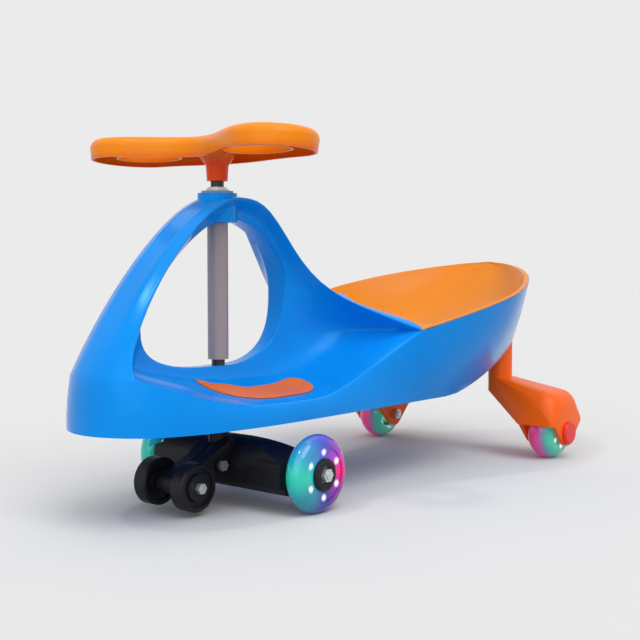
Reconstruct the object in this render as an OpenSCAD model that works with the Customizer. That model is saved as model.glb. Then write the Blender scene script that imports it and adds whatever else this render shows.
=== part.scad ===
// Wiggle car: a ride-on toy that rolls forward as the steering wheel is swung from side to side.
// Millimetres, X forward, Y to the rider's left, Z up, ground at Z = 0, box centred on X and Y.
// Shapes are drawn from the steering column's axis and then moved along X by column_x.

/* [Body] */
// Steering column axis to the tip of the nose
nose_reach = 180; // [170:1:190]
// Steering column axis to the rear end of the seat rim
tail_reach = 548; // [540:1:580]
// Ground to the bottom edge of the skirt
skirt_z = 95; // [94:1:104]
// Width across the skirt at the footwells
foot_w = 196; // [180:1:220]
// Height of the skirt's top edge beside the column
foot_z = 116; // [112:1:124]
// Height of the skirt's top edge at the nose
nose_top_z = 148; // [140:1:158]
// Skirt top edge stands in by this much from the bottom edge
skirt_draft = 5; // [2:0.5:8]
// Thickness of the moulded wall
shell_wall = 3.2; // [2.5:0.1:4.5]
// Width of the limbs' outer face
limb_w = 54; // [48:1:60]
// Width of the limbs' face towards the opening
limb_inner_w = 26; // [22:1:34]
// Depth of the arch at the column, from its outer face to the opening
arch_depth = 24; // [20:1:30]
// Crown of the arch's outer face
limb_crown = 3; // [1:0.5:5]
// Height of the two ridges along the front limb
limb_ridge = 1.5; // [0:0.1:3]
// Depth of the hollow along the rear limb's flanks
limb_hollow = 7; // [0:0.5:9]

/* [Arch opening] */
// Column axis to the front of the opening
opening_front = 118; // [108:1:124]
// Height at which the opening reaches furthest forward
opening_front_z = 196; // [188:1:204]
// Column axis to the rear of the opening
opening_rear = 92; // [84:1:98]
// Height at which the opening reaches furthest back
opening_rear_z = 230; // [220:1:240]
// Height of the saddle under the opening
saddle_z = 149; // [142:1:156]

/* [Seat] */
// Column axis to the front edge of the seat
seat_front = 212; // [200:1:222]
// Width across the rim at the seat's front corners
seat_front_w = 236; // [224:1:250]
// Width across the rim at its widest
seat_w = 302; // [288:1:316]
// Column axis to the widest place of the rim
seat_wide_reach = 360; // [330:1:380]
// Height of the rim at the seat's front corners
rim_front_z = 180; // [174:1:188]
// Height of the rim at the tail
rim_rear_z = 255; // [246:1:264]
// Height of the pommel between the rider's legs
pommel_z = 220; // [212:1:230]
// Height of the sitting surface
seat_floor_z = 158; // [152:1:166]
// Width of the rim that carries the seat panel's edge
rim_w = 5; // [4:0.5:8]
// Thickness of the seat panel
seat_t = 3; // [2.5:0.1:4]

/* [Steering column] */
// Diameter of the steering shaft
shaft_d = 14; // [12:0.5:16]
// Outer diameter of the column sleeve
sleeve_d = 22; // [20:0.5:25]
// Bare shaft between the saddle and the column sleeve
sleeve_rise = 6.6; // [5:0.1:15]
// Outer diameter of the bushes
bush_d = 24; // [22:0.5:26]
// Diameter of the bush flanges
bush_flange_d = 34; // [30:1:38]
// Thickness of the bush flanges
bush_flange_t = 2.5; // [2:0.5:4]
// Diameter of the boss on top of the arch
boss_d = 42; // [38:1:48]
// Height of the boss above the ground
boss_top_z = 331; // [328:1:340]
// Height of the boss above the arch's outer face
boss_rise = 2; // [1:0.5:4]

/* [Steering wheel] */
// Span of the steering wheel from side to side
wheel_span = 300; // [270:1:320]
// Fore and aft depth of a grip lobe
lobe_depth = 92; // [80:1:104]
// Column axis to the middle of the lobes
lobe_forward = 26; // [16:1:32]
// Height of the rim's skirt
rim_skirt = 22; // [18:1:26]
// Clear shaft between the retaining ring and the hub
hub_gap = 6.5; // [4:0.5:12]
// Lean of the steering wheel towards the rider
wheel_tilt = 3.5; // [0:0.5:6]
// Wall of the steering wheel moulding
grip_wall = 3; // [2.5:0.1:4]
// Hub diameter where it meets the shaft
hub_d = 22; // [20:1:28]
// Hub height, from its lower end to the top of the steering wheel
hub_h = 44; // [40:1:48]

/* [Front wheels] */
// Diameter of the light-up front wheels
front_d = 82; // [76:1:86]
// Width of the front wheels
front_w = 24; // [22:1:28]
// Distance between the front wheels' middles
front_track = 221; // [210:1:236]
// Front axle behind the column axis
front_trail = 31; // [24:1:36]
// Height of the bogie's arched top
bogie_top_z = 73; // [70:1:76]
// Diameter of the black cap on the front wheels
front_cap_d = 34; // [30:1:38]

/* [Stabiliser wheels] */
// Diameter of the small anti-tip wheels
stabiliser_d = 50; // [44:1:54]
// Width of a stabiliser wheel
stabiliser_w = 18; // [14:1:22]
// Distance between the stabiliser wheels' middles
stabiliser_track = 55; // [50:1:64]
// Column axis to the stabiliser axle
stabiliser_forward = 64; // [60:1:72]
// Gap between the stabiliser wheels and the ground
stabiliser_gap = 6; // [3:0.5:9]
// Diameter of the stabiliser axle
stabiliser_axle_d = 6; // [5:0.5:8]

/* [Rear wheels] */
// Diameter of the rear wheels
rear_d = 70; // [64:1:76]
// Width of the rear wheels
rear_w = 38; // [34:1:42]
// Distance between the rear wheels' middles
rear_track = 278; // [270:1:290]
// Leg posts ahead of the rear end of the seat rim
post_inset = 68; // [56:1:80]
// Rear axle ahead of the leg posts
axle_lead = 7; // [0:1:25]
// Distance between the two leg posts
post_spacing = 120; // [112:1:128]
// Diameter of a leg post
post_d = 32; // [30:1:35]
// Wall of a wheel fork
fork_wall = 5; // [4.5:0.5:6]
// Gap between a wheel and its fork
fork_gap = 3; // [2:0.5:4]
// Diameter of the round axle caps
axle_cap_d = 30; // [26:1:32]

/* [Bearings and fits] */
// Diameter of the wheel axles
axle_d = 8; // [7:0.5:9]
// Outer diameter of the wheel bearings
bearing_d = 22; // [20:1:24]
// Width of a wheel bearing
bearing_w = 7; // [6:0.5:8]
// Radial clearance of a shaft that turns in its bore
running_clearance = 0.05; // [0.02:0.01:0.1]
// Gap between faces that pass each other
face_gap = 0.4; // [0.3:0.1:0.8]
// Gap between pieces that are fixed together
fit_gap = 0.1; // [0.05:0.05:0.3]

/* [Hidden] */
$fn = 64;

body_blue = "#1676e8";
seat_orange = "#ee8a10";
leg_orange = "#f0560c";
cap_red = "#d8241c";
moulded_black = "#15151c";
sleeve_grey = "#a09191";
steel = "#b9bcc2";
clear_polyurethane = "#9fd8e6";
core_white = "#eef0f4";
magnet_grey = "#5d6168";
board_green = "#2f7d4a";

// Body
column_x = (tail_reach - nose_reach) / 2;
post_reach = tail_reach - post_inset;
rear_reach = post_reach - axle_lead;
foot_half = foot_w / 2;
seat_corner_y = seat_front_w / 2;
rim_half = seat_w / 2;
past = 1;

// Heights up the column, from the bogie's neck to the hub of the steering wheel
washer_t = 2;
neck_z = skirt_z - 7;
lower_flange_z = neck_z + washer_t + face_gap;
lower_boss_z = lower_flange_z + bush_flange_t;
lower_bush_top = saddle_z - 15;
shaft_room = 0.5;
arch_top_z = boss_top_z - boss_rise;
opening_top_z = arch_top_z - arch_depth;
upper_boss_z = opening_top_z - 5;
sleeve_z = saddle_z + sleeve_rise;
sleeve_l = upper_boss_z - face_gap - sleeve_z;
upper_flange_top = boss_top_z + bush_flange_t;
upper_washer_z = upper_flange_top + face_gap;
retaining_ring_z = upper_washer_z + washer_t;
ring_t = 1.6;
hub_z = retaining_ring_z + ring_t + hub_gap;
wheel_top_z = hub_z + hub_h;
shaft_bottom_z = neck_z - 36;
shaft_top_z = wheel_top_z - 16;
washer_d = shaft_d + 10;
screw_seat_z = wheel_top_z - 5;
shaft_screw_r = 3;
shaft_screw_l = 22;
steering_cap_r = 11;
grip_waist = 66;
grip_round = 10;
grip_draft = 1.5;
hand_y = 80;
hand_l = 82;
hand_depth = 48;

// Wheels
front_axle_z = front_d / 2;
rear_axle_z = rear_d / 2;
stabiliser_z = stabiliser_d / 2 + stabiliser_gap;
axle_r = axle_d / 2;
bearing_r = bearing_d / 2;
stabiliser_axle_r = stabiliser_axle_d / 2;
front_bearing_z = front_w / 2 - bearing_w - 1.5;
rear_bearing_z = rear_w / 2 - bearing_w - 1.5;
core_r = front_d / 2 - 13;
rear_core_r = rear_d / 2 - 12;
nut_h = 6.5;
bolt_head_r = 7;
bolt_head_h = 3;
cap_h = 5;
front_nut_z = front_bearing_z + bearing_w + face_gap;
rear_boss_z = rear_bearing_z + bearing_w + face_gap;
light_rim = 3;
front_light_z = 2;
rear_light_z = 6;
nut_af = 1.6 * axle_d;
spacer_r = axle_r + 3;

// Front bogie
bogie_end_y = front_track / 2 - front_w / 2 - 4;
bogie_end_top = front_axle_z + 13;
bogie_low_z = front_axle_z - 13;
bogie_front = 8;
bogie_rear = front_trail + 18;
axle_tube_r = axle_r + 9;
arm_half = stabiliser_track / 2 - stabiliser_w / 2 - 2;
arm_tip_r = stabiliser_axle_r + 8;
arm_root_r = 12;
arm_root_x = stabiliser_forward - stabiliser_d / 2 - arm_root_r - 2;
bogie_wall = 4;
neck_r = shaft_d / 2 + 4.5;
hood_half = 22;
pinch_x = 18;
pinch_z = 46;
pinch_r = 3;
pinch_half = 23;
pinch_slot = 2;

// Rear legs
post_r = post_d / 2;
fork_half = rear_w / 2 + fork_gap + fork_wall;
fork_inside = rear_w / 2 + fork_gap;
wheel_space_r = rear_d / 2 + fork_gap + 1;
dome_r = 24;
fender_half = wheel_space_r + 1;
fender_corner = 6;
fender_top_z = rear_d + 20;
fender_low_z = rear_axle_z + 11;
arm_top_z = rear_d + 32;
arm_root_h = 20;
screw_bite = 9;
socket_wall = 4.5;

// Seat dish
dish_flat = 142;
dish_rise_x = -(seat_front + dish_flat);
lip_run = 60;
lip_shoulder = 0.66;
lip_slope = 0.62;
lip_corner = 0.8;
dish_gap = fit_gap + seat_t;

// Curve samples along the front limb, the rear limb, the skirt and the rim
front_n = 18;
rear_n = 20;
side_n = 26;
rim_n = 20;
// Rows across a flank, columns across a limb's outer face, rows down the skirt
flank_n = 6;
band_n = 16;
skirt_n = 4;

// Roundness of the outline curves: 2 is an ellipse, less is straighter, more is squarer
front_top_round = 1.4;
front_low_round = 2.8;
rear_top_round = 2;
rear_low_round = 2.5;
limb_reach_round = 1.45;
limb_rise_round = 1.15;
nose_round = 2.6;
tail_round = 1.6;
tail_low_round = 3.2;
rim_arch = 3;

// Opening angles at which the flank reaches the nose corner and the seat corner
nose_angle = -28;
seat_angle = 216;
// Where the skirt is widest, where it starts to taper to the tail, and where its bottom starts to rise
skirt_wide_x = -60;
skirt_taper_x = -250;
skirt_rise_x = -300;
tail_bottom_reach = tail_reach - 14;
tail_lip = 80;
nose_corner_x = nose_reach - 26;
// Distance behind the column at which the rear limb has come half way down
waist_reach = 0.435 * seat_front;
waist_fall = 3.8;
// Place and spread of the front limb's ridges, as shares of its half width
ridge_at = 0.5;
ridge_spread = 0.34;

function lerp(a, b, t) = a + (b - a) * t;
function limit(t) = max(0, min(1, t));
function smooth(t) = let (c = limit(t)) c * c * (3 - 2 * c);
function signed_pow(v, p) = sign(v) * pow(abs(v), p);
function oval(t, round) = pow(max(0, 1 - pow(limit(t), round)), 1 / round);

// Edge of the arch opening at an angle around it, as [x, z]
function opening_edge(angle) =
  let (front = cos(angle) >= 0, top = sin(angle) >= 0)
  let (mid_z = front ? opening_front_z : opening_rear_z)
  let (reach = front ? opening_front : opening_rear)
  let (rise = top ? opening_top_z - mid_z : mid_z - saddle_z)
  let (round = front ? (top ? front_top_round : front_low_round) : (top ? rear_top_round : rear_low_round))
  [reach * signed_pow(cos(angle), 2 / round), mid_z + rise * signed_pow(sin(angle), 2 / round)];

// Half width of the skirt's bottom edge, and its height
function skirt_y(x) =
  x > skirt_wide_x
    ? foot_half * oval((x - skirt_wide_x) / (nose_reach - skirt_wide_x), nose_round)
    : foot_half * oval((skirt_taper_x - x) / (tail_bottom_reach + skirt_taper_x), tail_low_round);
function skirt_bottom_z(x) =
  skirt_z + (rim_rear_z - tail_lip - skirt_z)
    * pow(limit((skirt_rise_x - x) / (tail_bottom_reach + skirt_rise_x)), 1.35);

// Skirt's top edge between the nose corner and the seat's front corner
function side_run(x) = limit((skirt_wide_x - x) / (seat_front + skirt_wide_x));
function skirt_top_y(x) = lerp(skirt_y(x) - skirt_draft, seat_corner_y, pow(side_run(x), 4));
function skirt_top_z(x) =
  x < 0
    ? lerp(foot_z, rim_front_z, pow(side_run(x), 1.6))
    : lerp(foot_z, nose_top_z, pow(x / nose_corner_x, 2));

// Rim round the seat: half width and height
function rim_y(x) =
  -x < seat_wide_reach
    ? lerp(seat_corner_y, rim_half, sin(90 * limit((-x - seat_front) / (seat_wide_reach - seat_front))))
    : rim_half * oval((-x - seat_wide_reach) / (tail_reach - seat_wide_reach), tail_round);
function rim_z(x) =
  let (t = limit((-x - seat_front) / (tail_reach - seat_front)))
  lerp(rim_front_z, rim_rear_z, t) + rim_arch * 4 * t * (1 - t);

// Rear limb's ridge, from the column down to the pommel
function ridge_z(x) =
  let (end = 1 / (1 + pow(seat_front / waist_reach, waist_fall)))
  let (fall = (1 / (1 + pow(-x / waist_reach, waist_fall)) - end) / (1 - end))
  lerp(pommel_z, arch_top_z, fall);

// Stations along each stretch of the outer edge, with the ridge in the middle of the band beside it
function front_ridge(t) =
  [(nose_reach - skirt_draft) * pow(cos(90 * t), 2 / limb_reach_round), 0,
   lerp(nose_top_z, arch_top_z, pow(sin(90 * t), 2 / limb_rise_round))];
function front_edge(t) =
  let (ridge = front_ridge(t), corner = pow(1 - t, 3))
  [ridge[0] - lerp(limb_crown * cos(90 * t), nose_reach - skirt_draft - nose_corner_x, corner),
   lerp(limb_w / 2, skirt_top_y(nose_corner_x), corner),
   ridge[2] - limb_crown * sin(90 * t)];
function rear_x(t) = -seat_front * pow(t, 1.3);
function rear_spread(t) = pow(pow(t, 1.3), 3);
function rear_edge(t) =
  let (x = rear_x(t), g = rear_spread(t))
  [x, lerp(limb_w / 2, seat_corner_y, g), ridge_z(x) - lerp(limb_crown, pommel_z - rim_front_z, g)];
function rear_ridge(t) = [rear_x(t), 0, ridge_z(rear_x(t))];
function side_edge(t) =
  let (x = lerp(-seat_front, nose_corner_x, t))
  [x, skirt_top_y(x), skirt_top_z(x)];

// Outer edge of the flank, all round the opening: nose corner, column, seat corner, then the skirt
edge_angles = concat(
  [for (i = [0:front_n]) lerp(nose_angle, 90, i / front_n)],
  [for (i = [1:rear_n]) lerp(90, seat_angle, i / rear_n)],
  [for (i = [1:side_n - 1]) lerp(seat_angle, 360 + nose_angle, i / side_n)]);
edge_points = concat(
  [for (i = [0:front_n]) front_edge(i / front_n)],
  [for (i = [1:rear_n]) rear_edge(i / rear_n)],
  [for (i = [1:side_n - 1]) side_edge(i / side_n)]);
edge_count = len(edge_points);

// A flank sweeps out from the opening to the edge: hollow over the footwells, straight on the limbs
function scoop(angle) = 1 + 0.9 * smooth(0.35 - 1.1 * sin(angle));
function inner_half(angle) = lerp(limb_inner_w / 2, limb_inner_w / 2 - 4, smooth(-sin(angle)));
function limb_dip(angle, v) =
  let (along = smooth((angle - 90) / 20) * smooth((seat_angle - 30 - angle) / 60))
  limb_hollow * along * pow(sin(180 * pow(v, 0.8)), 2);
function flank_point(i, v) =
  let (angle = edge_angles[i], inner = opening_edge(angle), outer = edge_points[i], k = scoop(angle))
  let (down = 1 - pow(1 - v, k), out = lerp(inner_half(angle), outer[1], pow(v, k)) - limb_dip(angle, v))
  [lerp(inner[0], outer[0], down), out, lerp(inner[1], outer[2], down)];

// Fall of the pommel's lip from its middle to the seat's front corner: a slope, a shoulder, then the corner
function lip_fall(s) =
  let (slope = 1 - pow(1 - limit(abs(s) / lip_slope), 1.7))
  let (corner = (abs(s) - lip_corner) / (1 - lip_corner))
  lerp(lip_shoulder * slope, 1, smooth(corner));

// Outer face of the limbs, one row for each station from the nose over the column to the pommel
function band_point(i, s) =
  let (edge = edge_points[i])
  let (ridge = i <= front_n ? front_ridge(i / front_n) : rear_ridge((i - front_n) / rear_n))
  let (f = lerp(s * s, lip_fall(s), limit((i - front_n) / rear_n)), angle = 90 * min(1, i / front_n))
  let (lift = limb_ridge * sin(2 * angle) * (1 - smooth(abs(abs(s) - ridge_at) / ridge_spread)))
  let (rise = [lift * cos(angle), lift * sin(angle)])
  [lerp(ridge[0], edge[0], f) + rise[0], s * edge[1], lerp(ridge[2], edge[2], f) + rise[1]];

// Top edge of the skirt and the rim, once round from the tail: left side, nose, right side
function rim_station(t) = -lerp(seat_front, tail_reach, sin(90 * t));
function rim_point(t) = let (x = rim_station(t)) [x, rim_y(x), rim_z(x)];
function flip(p) = [p[0], -p[1], p[2]];
left_top = concat(
  [for (i = [rim_n:-1:1]) rim_point(i / rim_n)],
  [for (i = [0:side_n]) side_edge(i / side_n)],
  [for (k = [1:band_n / 2]) band_point(0, 1 - 2 * k / band_n)]);
function below(p) =
  let (x_scale = p[0] > 0 ? nose_reach / (nose_reach - skirt_draft) : tail_bottom_reach / tail_reach)
  let (along = smooth((-p[0] - seat_front) / (tail_reach - seat_front)))
  let (x = p[0] < -seat_front ? lerp(p[0], p[0] * x_scale, along) : p[0])
  p[0] > nose_corner_x
    ? [p[0] * x_scale, p[1] * 1.02, skirt_z]
    : [x, p[1] == 0 ? 0 : skirt_y(x), skirt_bottom_z(x)];
function skirt_bulge(p) = p[0] < -seat_front ? 5 : 2;
function skirt_point(p, v) =
  let (low = below(p), swell = skirt_bulge(p) * 4 * v * (1 - v) * smooth(p[1] / 30))
  [lerp(p[0], low[0], v), lerp(p[1], low[1], v) + swell, lerp(p[2], low[2], v)];

// Triangles of a grid of points, wound the other way for the mirrored side
function grid(rows, cols, start, turn = false, closed = false) = [
  for (r = [0:rows - (closed ? 1 : 2)]) for (c = [0:cols - 2])
    let (a = start + r * cols + c, b = start + ((r + 1) % rows) * cols + c)
    for (f = turn ? [[a, b, a + 1], [b, b + 1, a + 1]] : [[a, a + 1, b], [b, a + 1, b + 1]]) f
];

module moulding_outside() {
  left_flank = [for (i = [0:edge_count - 1]) for (v = [0:flank_n]) flank_point(i, v / flank_n)];
  right_flank = [for (p = left_flank) flip(p)];
  strip = [for (i = [0:edge_count - 1]) for (s = [1, 0, -1])
    let (p = flank_point(i, 0)) [p[0], s * p[1], p[2]]];
  band = [for (i = [0:front_n + rear_n]) for (k = [0:band_n]) band_point(i, 1 - 2 * k / band_n)];
  left_skirt = [for (p = left_top) for (v = [0:skirt_n]) skirt_point(p, v / skirt_n)];
  right_skirt = [for (p = left_skirt) flip(p)];
  rim_pair = [for (i = [0:rim_n]) for (s = [1, -1]) let (p = left_top[rim_n - i]) [p[0], s * p[1], p[2]]];
  floor_pair = [for (p = left_top) for (s = [1, -1]) let (q = below(p)) [q[0], s * q[1], q[2]]];
  lip = [for (k = [0:band_n]) band_point(front_n + rear_n, 1 - 2 * k / band_n)];
  parts = [left_flank, right_flank, strip, band, left_skirt, right_skirt, rim_pair, floor_pair, lip];
  starts = [for (i = 0, n = 0; i < len(parts); n = n + len(parts[i]), i = i + 1) n];
  polyhedron(
    [for (part = parts) for (p = part) p],
    concat(
      grid(edge_count, flank_n + 1, starts[0], false, true),
      grid(edge_count, flank_n + 1, starts[1], true, true),
      grid(edge_count, 3, starts[2], true, true),
      grid(front_n + rear_n + 1, band_n + 1, starts[3], false),
      grid(len(left_top), skirt_n + 1, starts[4], false),
      grid(len(left_top), skirt_n + 1, starts[5], true),
      grid(rim_n + 1, 2, starts[6], false),
      grid(len(left_top), 2, starts[7], false),
      [[for (k = [0:band_n]) starts[8] + k]]));
}

// Hollow under the deck, from behind the nose to under the tail, open below
hollow_n = 14;
hollow_front = nose_reach - shell_wall - 12;
hollow_rear = -(tail_reach - 30);
function dish_floor(x) =
  lerp(seat_floor_z, rim_rear_z, pow(limit((dish_rise_x - x) / (tail_reach - rim_w + dish_rise_x)), 2));
function ceiling_z(x) =
  let (deck = x > -seat_front ? skirt_top_z(min(x, nose_corner_x)) : rim_z(x))
  min(deck - shell_wall - 2, dish_floor(x) - dish_gap - shell_wall);
function wall_y(x, z) =
  let (low = skirt_bottom_z(x), top = x > -seat_front ? skirt_top_z(min(x, nose_corner_x)) : rim_z(x))
  let (top_y = x > nose_corner_x ? skirt_y(x) - skirt_draft : x > -seat_front ? skirt_top_y(x) : rim_y(x))
  lerp(skirt_y(x), top_y, limit((z - low) / (top - low))) - shell_wall - 0.6;
module hollow() {
  points = [for (i = [0:hollow_n])
    let (x = lerp(hollow_front, hollow_rear, i / hollow_n))
    let (low = skirt_bottom_z(x) - past, top = ceiling_z(x))
    let (low_y = wall_y(x, low), top_y = wall_y(x, top) - 4)
    for (p = [[x, low_y, low], [x, top_y, top], [x, -top_y, top], [x, -low_y, low]]) p];
  last = 4 * hollow_n;
  polyhedron(points, concat(
    [[0, 3, 2, 1], [last, last + 1, last + 2, last + 3]],
    [for (i = [0:hollow_n - 1]) for (k = [0:3])
      let (a = 4 * i + k, b = 4 * i + (k + 1) % 4)
      for (f = [[a, b, a + 4], [b, b + 4, a + 4]]) f]));
}

// Sitting surface: a dish between the rims whose front climbs to the pommel's lip
seat_x_n = 22;
seat_s_n = 16;
function seat_station(t) = -lerp(seat_front + fit_gap, tail_reach - rim_w, (t + sin(90 * t)) / 2);
function seat_half(x) =
  rim_y(x * tail_reach / (tail_reach - rim_w + 0.4)) - rim_w * smooth((tail_reach - rim_w + x) / 40);
function lip_z(s) = lerp(pommel_z, rim_front_z, lip_fall(s));
function dish_z(x, s) =
  let (dish = lerp(dish_floor(x), rim_z(x), pow(abs(s), 3)))
  lerp(lip_z(s), dish, smooth((-x - seat_front) / lip_run));
module seat_sheet(top, bottom) {
  cols = seat_s_n + 1;
  count = (seat_x_n + 1) * cols;
  points = [for (drop = [top, bottom]) for (i = [0:seat_x_n]) for (k = [0:seat_s_n])
    let (x = seat_station(i / seat_x_n), s = 2 * k / seat_s_n - 1)
    [x, s * max(2, seat_half(x)), dish_z(x, s) + drop]];
  border = concat(
    [for (k = [0:seat_s_n - 1]) [k, k + 1]],
    [for (i = [0:seat_x_n - 1]) [i * cols + seat_s_n, (i + 1) * cols + seat_s_n]],
    [for (k = [seat_s_n:-1:1]) [seat_x_n * cols + k, seat_x_n * cols + k - 1]],
    [for (i = [seat_x_n:-1:1]) [i * cols, (i - 1) * cols]]);
  polyhedron(points, concat(
    grid(seat_x_n + 1, cols, 0, true),
    grid(seat_x_n + 1, cols, count, false),
    [for (e = border) for (f = [[e[0], e[1], count + e[0]], [e[1], count + e[1], count + e[0]]]) f]));
}

// Seat panel: each station's section runs from the right edge over the dish to the left one and back.
// The rolled edge laps over the rim, and behind the dish there is only the edge.
edge_t = 2;
edge_lap = 0.6;
function panel_ring(x, half, out, behind) =
  let (low = rim_z(x) + fit_gap, high = rim_z(x) + edge_t, under = behind ? half - edge_lap : half)
  let (stops = [for (k = [0:seat_s_n]) 2 * k / seat_s_n - 1])
  concat(
    [[x, -out, low], [x, -out, (low + high) / 2]],
    [for (s = stops) [x, s * half, behind || abs(s) == 1 ? high : dish_z(x, s)]],
    [[x, out, (low + high) / 2], [x, out, low], [x, half, low]],
    [for (s = stops) [x, -s * under, behind ? low : dish_z(x, s) - seat_t]],
    [[x, -half, low]]);
module panel_solid() {
  end_x = seat_station(1) + fit_gap;
  end_half = max(2, seat_half(seat_station(1))) - fit_gap;
  tip_x = edge_lap - tail_reach;
  rings = concat(
    [for (i = [0:seat_x_n]) let (at = seat_station(i / seat_x_n), x = i < seat_x_n ? at : end_x)
      panel_ring(x, max(2, seat_half(at)) - fit_gap, rim_y(x) - edge_lap, false)],
    [panel_ring(end_x - fit_gap / 2, end_half, rim_y(end_x) - edge_lap, true),
     panel_ring(tip_x, 0.8 * rim_y(tip_x), 0.9 * rim_y(tip_x), true)]);
  n = len(rings[0]);
  last = n * (len(rings) - 1);
  polyhedron([for (r = rings) for (p = r) p], concat(
    [[for (k = [0:n - 1]) k], [for (k = [n - 1:-1:0]) last + k]],
    [for (i = [0:len(rings) - 2]) for (k = [0:n - 1])
      let (a = i * n + k, b = i * n + (k + 1) % n, above = k > 1 && k < seat_s_n + 2)
      for (f = above ? [[a, a + n, b], [a + n, b + n, b]] : [[a, a + n, b + n], [a, b + n, b]]) f]));
}

// Four screws in the flat of the dish hold the panel to the deck
seat_screw_y = 24;
seat_screw_inset = 16;
head_room = 2;
seat_screw_reach = [seat_front + lip_run + seat_screw_inset, -dish_rise_x - head_room];
screw_head_r = 5;
screw_head_h = 2.4;
head_lift = 0.6;
screw_r = 2;
seat_screw_l = 10;
seat_bore_h = 4 * seat_screw_l;
module at_seat_screws()
  for (reach = seat_screw_reach) for (side = [1, -1])
    translate([-reach, side * seat_screw_y, dish_z(-reach, seat_screw_y / seat_half(-reach))]) children();

rib_t = 2.6;
rib_reach = [-92, 62, 150, 250, 340];
module ribs()
  for (reach = rib_reach)
    translate([-reach - rib_t / 2, -foot_half, skirt_bottom_z(-reach) + 14])
      cube([rib_t, foot_w, rim_rear_z]);

// Posts of the rear legs end in sockets whose roof slants with the dish
post_top_z = dish_floor(-post_reach) - dish_gap - shell_wall - 1;
post_slant = atan(2 * (rim_rear_z - seat_floor_z) * (post_reach + dish_rise_x)
  / pow(tail_reach - rim_w + dish_rise_x, 2));
leg_screw_x = post_r + socket_wall;
leg_screw_z = skirt_bottom_z(leg_screw_x - post_reach) + 10;
module at_posts() for (side = [1, -1]) translate([-post_reach, side * post_spacing / 2, 0]) children();
module post_shape(foot_z, spare) {
  difference() {
    translate([0, 0, foot_z]) cylinder(r = post_r + spare, h = rim_rear_z - foot_z);
    translate([0, 0, post_top_z + spare]) rotate([0, post_slant, 0])
      translate([-rim_rear_z, -rim_rear_z, 0]) cube(2 * rim_rear_z);
  }
}

lower_boss_r = bush_d / 2 + 5;
module body_shell() {
  color(body_blue) translate([column_x, 0, 0]) difference() {
    resize([nose_reach + tail_reach, 0, 0]) difference() {
      union() {
        difference() {
          moulding_outside();
          difference() {
            hollow();
            ribs();
            cylinder(r = lower_boss_r, h = saddle_z);
            at_posts() cylinder(r = post_r + socket_wall, h = rim_rear_z);
          }
        }
        translate([0, 0, upper_boss_z]) cylinder(d = boss_d, h = boss_top_z - upper_boss_z);
        translate([0, 0, lower_boss_z]) cylinder(r = lower_boss_r, h = skirt_z - lower_boss_z + past);
      }
      seat_sheet(rim_rear_z, -dish_gap);
    }
    translate([0, 0, lower_boss_z - past])
      cylinder(d = bush_d, h = lower_bush_top + fit_gap - lower_boss_z + past);
    translate([0, 0, lower_boss_z]) cylinder(r = shaft_d / 2 + shaft_room, h = saddle_z - lower_boss_z + 20);
    translate([0, 0, upper_boss_z - past]) cylinder(d = bush_d, h = boss_top_z - upper_boss_z + 2 * past);
    at_posts() post_shape(skirt_z, fit_gap);
    at_posts() translate([leg_screw_x + past, 0, leg_screw_z]) rotate([0, -90, 0])
      cylinder(r = screw_r + fit_gap, h = socket_wall + 2 * past);
    at_seat_screws() cylinder(r = screw_r + fit_gap, h = seat_bore_h, center = true);
  }
}

module seat_panel() {
  color(seat_orange) translate([column_x, 0, 0]) difference() {
    resize([seat_station(0) + tail_reach - edge_lap, 0, 0]) panel_solid();
    at_seat_screws() cylinder(r = screw_r + fit_gap, h = seat_bore_h, center = true);
  }
}

module seat_screws() {
  color(steel) translate([column_x, 0, 0]) at_seat_screws() {
    translate([0, 0, head_lift]) cylinder(r = screw_head_r, h = screw_head_h);
    translate([0, 0, -seat_screw_l]) cylinder(r = screw_r, h = seat_screw_l + past);
  }
}

module bush(flange_z, tube_z, tube_h) {
  color(core_white) translate([column_x, 0, 0]) difference() {
    union() {
      translate([0, 0, flange_z]) cylinder(d = bush_flange_d, h = bush_flange_t);
      translate([0, 0, tube_z]) cylinder(r = bush_d / 2 - fit_gap, h = tube_h);
    }
    translate([0, 0, tube_z - bush_flange_t - past])
      cylinder(r = shaft_d / 2 + running_clearance, h = tube_h + 2 * bush_flange_t + 2 * past);
  }
}
module upper_bush() { bush(boss_top_z, upper_boss_z, boss_top_z - upper_boss_z + past); }
module lower_bush() { bush(lower_flange_z, lower_flange_z + past, lower_bush_top - lower_flange_z - past); }

// A piece of a wheel stands on its axis with +Z pointing away from the car
module at_wheel(x, track, z, side)
  translate([column_x + x, side * track / 2, z]) rotate([-90 * side, 0, 0]) children();
module at_front(side) at_wheel(-front_trail, front_track, front_axle_z, side) children();
module at_rear(side) at_wheel(-rear_reach, rear_track, rear_axle_z, side) children();
module at_stabiliser(side) at_wheel(stabiliser_forward, stabiliser_track, stabiliser_z, side) children();
module ring(outer_r, inner_r, from, to) {
  difference() {
    translate([0, 0, from]) cylinder(r = outer_r, h = to - from);
    translate([0, 0, from - past]) cylinder(r = inner_r, h = to - from + 2 * past);
  }
}
module hex_nut(across, bore_r, from, height) {
  difference() {
    translate([0, 0, from]) cylinder(d = across / cos(30), h = height, $fn = 6);
    translate([0, 0, from - past]) cylinder(r = bore_r, h = height + 2 * past);
  }
}

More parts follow.
